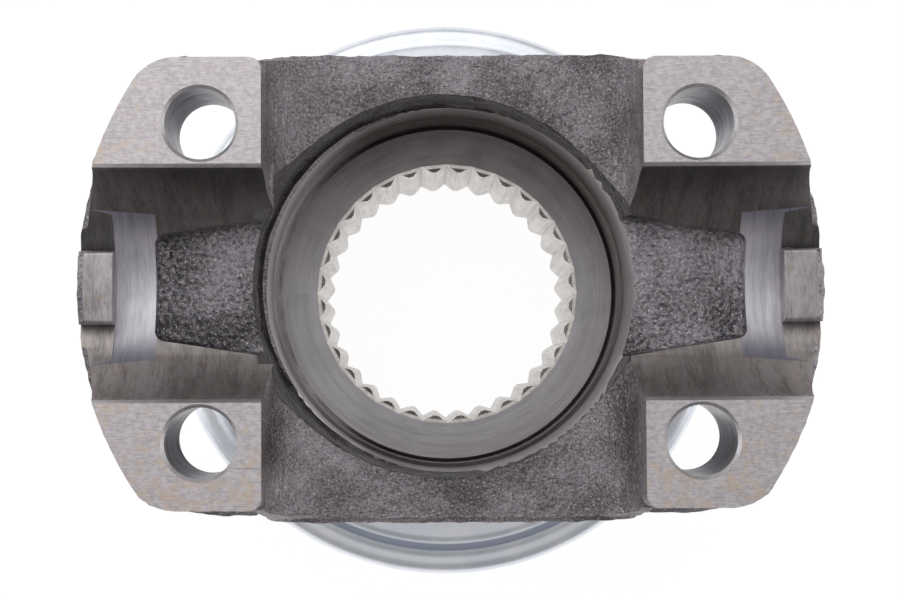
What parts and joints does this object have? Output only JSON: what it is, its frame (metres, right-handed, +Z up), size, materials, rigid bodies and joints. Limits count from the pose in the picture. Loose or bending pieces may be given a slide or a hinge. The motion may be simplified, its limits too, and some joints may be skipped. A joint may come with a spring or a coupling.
{
  "type": "driveshaft end yoke",
  "caption": "Forged steel driveshaft end yoke with two half-round bearing saddles, U-bolt holes, internal splined hub and a pressed-on zinc-plated dust slinger.",
  "frame": {"origin": "centre of the hub's end face, on the spline axis; the base of the object", "axes": "+Z runs up the spline axis towards the joint, X is the trunnion axis direction, from ear to ear, and Y runs across the ears"},
  "size_m": [0.0921, 0.08, 0.062],
  "materials": {
    "forged_steel": "as-forged dark scale, machined faces satin",
    "zinc_plated_steel": "bright zinc plating, slightly blue"
  },
  "bodies": {
    "root": {"forged_yoke": "forged_steel", "dust_slinger": "zinc_plated_steel"}
  },
  "joints": []
}
